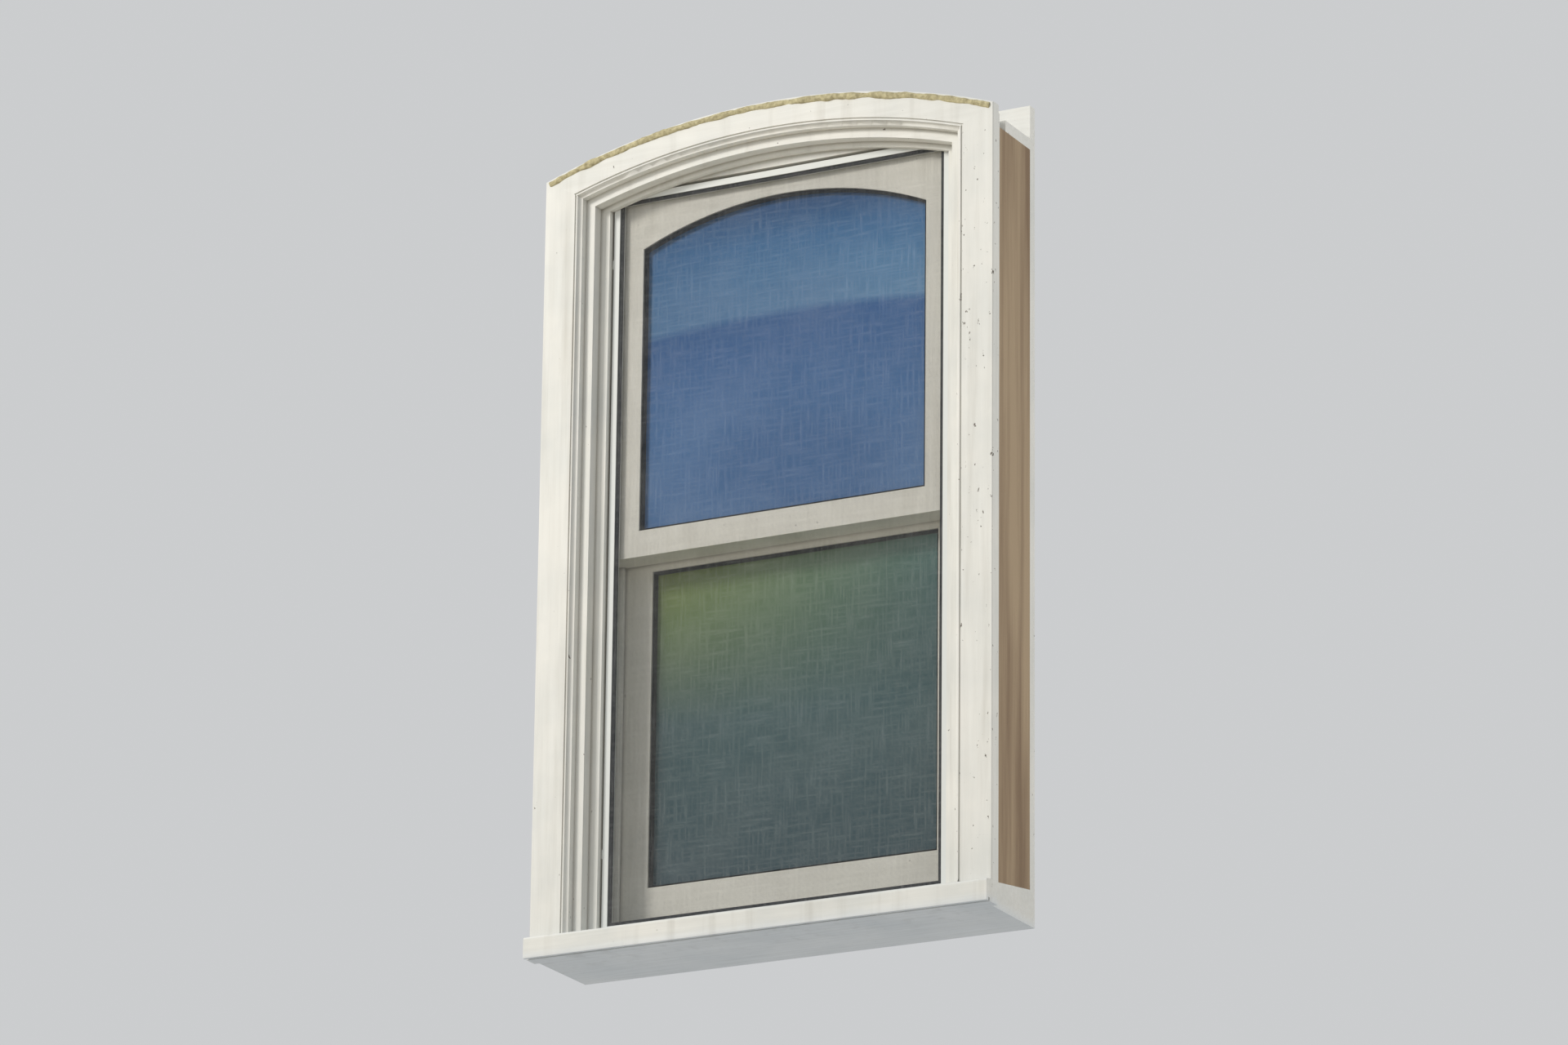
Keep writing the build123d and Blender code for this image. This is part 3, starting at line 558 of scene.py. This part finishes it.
bpy.ops.object.select_all(action="DESELECT")
bpy.ops.mesh.primitive_circle_add(
    vertices=12, radius=nozzle_radius, fill_type="NGON",
    location=(-sealant_end_x, sealant_front,
              arch_centre_z + sealant_radius * math.cos(sealant_half_angle)),
    rotation=(0, math.pi / 2 - sealant_half_angle, 0))
sealant = bpy.context.object
sealant.name = "arch_sealant"
sealant.scale = smeared
bpy.ops.object.transform_apply(location=True, rotation=True, scale=True)
bpy.ops.object.mode_set(mode="EDIT")
bpy.ops.mesh.select_all(action="SELECT")
bpy.ops.mesh.spin(steps=210, angle=-2 * sealant_half_angle, center=(0, sealant_front, arch_centre_z),
                  axis=(0, 1, 0))
bpy.ops.mesh.select_all(action="SELECT")
bpy.ops.mesh.remove_doubles(threshold=0.00001)
bpy.ops.transform.vertex_random(offset=0.0012, seed=4)
bpy.ops.mesh.normals_make_consistent(inside=False)
bpy.ops.object.mode_set(mode="OBJECT")
finger_marks = bpy.data.textures.new("finger_marks", "CLOUDS")
finger_marks.noise_scale = 0.028
lumps = sealant.modifiers.new("lumps", "DISPLACE")
lumps.texture = finger_marks
lumps.texture_coords = "LOCAL"
lumps.strength = 0.0065
lumps.mid_level = 0.5
bpy.ops.object.modifier_apply(modifier="lumps")
smoother = sealant.modifiers.new("smoother", "SUBSURF")
smoother.levels = 1
smoother.render_levels = 1
bpy.ops.object.modifier_apply(modifier="smoother")
bpy.ops.object.shade_smooth()
old_sealant = new_material("old_sealant", Roughness=0.85)
crumbs = place_noise(old_sealant, evenly, 130.0, detail=5.0, roughness=0.65)
feed_shader(old_sealant,
            Base_Color=mottled(old_sealant, crumbs, 0.35, 0.7, clean_sealant, soiled_sealant),
            Normal=relief(old_sealant, crumbs, 0.6, 0.001))
sealant.data.materials.append(old_sealant)
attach(sealant, "frame")


# Sash cord is braided cotton, 5 mm thick. Each cord has a run from its pulley down to the sash and
# a run down to its weight, and these runs grow and shrink as the sash slides.
clean_cotton = (0.66, 0.61, 0.49, 1)
worn_cotton = (0.42, 0.37, 0.27, 1)
cord_radius = 0.0025
cord_lay = 0.022
strand_dip = 0.8
braid_step = 0.003
pulley_level = 1.276876
sash_cord_x = 0.3255
weight_cord_x = 0.3735
upper_track = 0.0065
lower_track = 0.0575
upper_sash_low = 1.1054
lower_sash_low = 0.5014
upper_weight_low = 0.5169
lower_weight_low = 1.2109
both_sides = (("left", -1), ("right", 1))

cotton = new_material("braided_cotton", Roughness=0.9)
cotton_wear = place_noise(cotton, evenly, 60.0, detail=4.0)
feed_shader(cotton, Base_Color=mottled(cotton, cotton_wear, 0.35, 0.7, clean_cotton, worn_cotton))


def braided_run(name, x, y, low):
    """A round of twelve points with three strands in it, drawn down from the pulley and twisted."""
    length = pulley_level - low
    bpy.ops.object.select_all(action="DESELECT")
    bpy.ops.mesh.primitive_circle_add(vertices=12, radius=cord_radius, fill_type="NGON",
                                      location=(x, y, pulley_level))
    run = bpy.context.object
    run.name = name
    for point in list(run.data.vertices)[::4]:
        point.co *= strand_dip
    bpy.ops.object.mode_set(mode="EDIT")
    bpy.ops.mesh.select_all(action="SELECT")
    bpy.ops.mesh.extrude_region_move(TRANSFORM_OT_translate={"value": (0, 0, -length)})
    bpy.ops.object.mode_set(mode="OBJECT")
    for edge in run.data.edges:
        ends = [run.data.vertices[v].co for v in edge.vertices]
        edge.select = abs(ends[0].z - ends[1].z) > length / 2
    bpy.ops.object.mode_set(mode="EDIT")
    bpy.ops.mesh.select_mode(type="EDGE")
    bpy.ops.mesh.subdivide(number_cuts=int(length / braid_step))
    bpy.ops.mesh.select_all(action="SELECT")
    bpy.ops.mesh.normals_make_consistent(inside=False)
    bpy.ops.object.mode_set(mode="OBJECT")
    twist = run.modifiers.new("twist", "SIMPLE_DEFORM")
    twist.deform_method = "TWIST"
    twist.deform_axis = "Z"
    twist.angle = 2 * math.pi * length / cord_lay
    bpy.ops.object.modifier_apply(modifier="twist")
    bpy.ops.object.shade_smooth()
    bpy.ops.object.transform_apply(location=True, rotation=True, scale=True)
    run.data.materials.append(cotton)
    return run


def joined_pair(name, x, y, low):
    """The left and right runs of one sash as one piece."""
    left = braided_run(name + "_left", -x, y, low)
    right = braided_run(name, x, y, low)
    left.select_set(True)
    bpy.context.view_layer.objects.active = right
    bpy.ops.object.join()
    return right


upper_sash_run = joined_pair("upper_sash_cord_runs", sash_cord_x, upper_track, upper_sash_low)
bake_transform(upper_sash_run)
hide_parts("upper_sash_cords")

lower_sash_run = joined_pair("lower_sash_cord_runs", sash_cord_x, lower_track, lower_sash_low)
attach(lower_sash_run, "frame")
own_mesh(lower_sash_run)
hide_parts("lower_sash_cords")

upper_weight_run = joined_pair("upper_weight_cord_runs", weight_cord_x, upper_track, upper_weight_low)
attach(upper_weight_run, "frame")
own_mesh(upper_weight_run)
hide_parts("upper_weight_cords")

for side, sign in both_sides:
    x = sign * weight_cord_x
    run = braided_run(f"lower_weight_cord_run_{side}", x, lower_track, lower_weight_low)
    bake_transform(run)
    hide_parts("lower_weight_cords")
cover(cotton, "cord_bends")


# The weights are rods of cast iron that hang on the cords inside the frame's boxes. They are rough
# from the sand mould, and rusty after years in the damp.
iron_scale = (0.045, 0.042, 0.04, 1)
iron_rust = (0.20, 0.085, 0.035, 1)
rusty_iron = new_material("rusty_cast_iron", Metallic=0.35, Roughness=0.8)
rust = place_noise(rusty_iron, evenly, 38.0, detail=6.0, roughness=0.65)
feed_shader(rusty_iron, Base_Color=mottled(rusty_iron, rust, 0.42, 0.66, iron_scale, iron_rust),
            Normal=relief(rusty_iron, rust, 0.7, 0.001))
for sash in ("upper", "lower"):
    cover(rusty_iron, f"{sash}_weight_left", f"{sash}_weight_right")


# The pulley wheels, the sash lock and the two lifts are cast brass. Hands and cords keep their high
# places bright, and the rest has gone brown and dull.
bright_brass = (0.68, 0.47, 0.19, 1)
brown_brass = (0.26, 0.165, 0.07, 1)
aged_brass = new_material("aged_brass", Metallic=1.0)
tarnish = place_noise(aged_brass, evenly, 45.0, detail=5.0, roughness=0.6)
feed_shader(aged_brass, Base_Color=mottled(aged_brass, tarnish, 0.4, 0.72, bright_brass, brown_brass),
            Roughness=band(aged_brass, tarnish, 0.35, 0.7, 0.24, 0.55))
cover(aged_brass, "lock_base", "lock_cam", "lock_keeper", "sash_lifts")
for sash in ("upper", "lower"):
    cover(aged_brass, f"{sash}_pulley_wheel_left", f"{sash}_pulley_wheel_right")


# The pulleys' housings are pressed from plated steel and let into the pulley stiles. Their
# faceplates are brushed along their length.
bright_plate = (0.52, 0.52, 0.50, 1)
brushed_plate = (0.36, 0.35, 0.33, 1)
plated_steel = new_material("plated_steel", Metallic=1.0, Roughness=0.38)
plate_marks = place_noise(plated_steel, (400.0, 400.0, 12.0), 1.0, detail=3.0)
feed_shader(plated_steel, Base_Color=mottled(
    plated_steel, plate_marks, 0.3, 0.7, bright_plate, brushed_plate))
cover(plated_steel, "pulley_housings_left", "pulley_housings_right")


# Slotted countersunk screws hold the faceplates, the lock, the lifts and the pocket covers. Each
# head stands a hair proud of what it holds.
head_thickness = 0.0012
rim_ease = 0.0004
slot_depth = 0.0009
slot_turn = 0.7
stile_face_x = 0.333
head_sink = 0.0001
stile_screw_x = stile_face_x - head_sink
faceplate_screw_radius = 0.0034
faceplate_screw_rise = 0.046
pocket_screw_radius = 0.004
pocket_screw_levels = (("top", 0.482), ("bottom", 0.124))
lock_screw_radius = 0.0032
lock_screw_x = 0.023
lock_screw_rise = 0.0031
lift_screw_radius = 0.0034
lift_screw_x = 0.15
lift_screw_y = 0.0801
lift_screw_levels = (("top", 0.1195), ("bottom", 0.0995))


def slotted_screw(name, place, facing, radius, body, material):
    """A screw head turned from a disc, its rim eased and its slot cut, facing along a direction."""
    bpy.ops.object.select_all(action="DESELECT")
    bpy.ops.mesh.primitive_cylinder_add(vertices=24, radius=radius, depth=head_thickness)
    head = bpy.context.object
    head.name = name
    rim = head.modifiers.new("rim", "BEVEL")
    rim.width = rim_ease
    rim.segments = 2
    rim.angle_limit = math.radians(60)
    bpy.ops.object.modifier_apply(modifier="rim")
    bpy.ops.mesh.primitive_cube_add(size=1, location=(0, 0, head_thickness / 2))
    cutter = bpy.context.object
    cutter.scale = (3 * radius, 0.28 * radius, slot_depth)
    cutter.rotation_euler.z = len(bpy.data.objects) * slot_turn
    bpy.context.view_layer.update()
    bpy.context.view_layer.objects.active = head
    slot_cut = head.modifiers.new("slot", "BOOLEAN")
    slot_cut.object = cutter
    slot_cut.operation = "DIFFERENCE"
    slot_cut.solver = "EXACT"
    bpy.ops.object.modifier_apply(modifier="slot")
    bpy.data.objects.remove(cutter)
    head.rotation_euler = Vector(facing).to_track_quat("Z", "Y").to_euler()
    head.location = place
    bpy.ops.object.select_all(action="DESELECT")
    head.select_set(True)
    bpy.ops.object.transform_apply(location=True, rotation=True, scale=True)
    head.data.materials.append(material)
    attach(head, body)


lock_low, lock_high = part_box("lock_base")
lock_screw_y = (lock_low.y + lock_high.y) / 2
for side, sign in both_sides:
    for track, track_y in (("upper", upper_track), ("lower", lower_track)):
        for spot, rise in (("top", faceplate_screw_rise), ("bottom", -faceplate_screw_rise)):
            slotted_screw(f"faceplate_screw_{track}_{side}_{spot}",
                          (sign * stile_screw_x, track_y, pulley_level + rise), (-sign, 0, 0),
                          faceplate_screw_radius, "frame", plated_steel)
    for spot, level in pocket_screw_levels:
        slotted_screw(f"pocket_screw_{side}_{spot}", (sign * stile_screw_x, lower_track, level),
                      (-sign, 0, 0), pocket_screw_radius, "frame", aged_brass)
    slotted_screw(f"lock_screw_{side}",
                  (sign * lock_screw_x, lock_screw_y, lock_low.z + lock_screw_rise), (0, 0, 1),
                  lock_screw_radius, "lower_sash", aged_brass)
    for spot, level in lift_screw_levels:
        slotted_screw(f"lift_screw_{side}_{spot}", (sign * lift_screw_x, lift_screw_y, level),
                      (0, 1, 0), lift_screw_radius, "lower_sash", aged_brass)
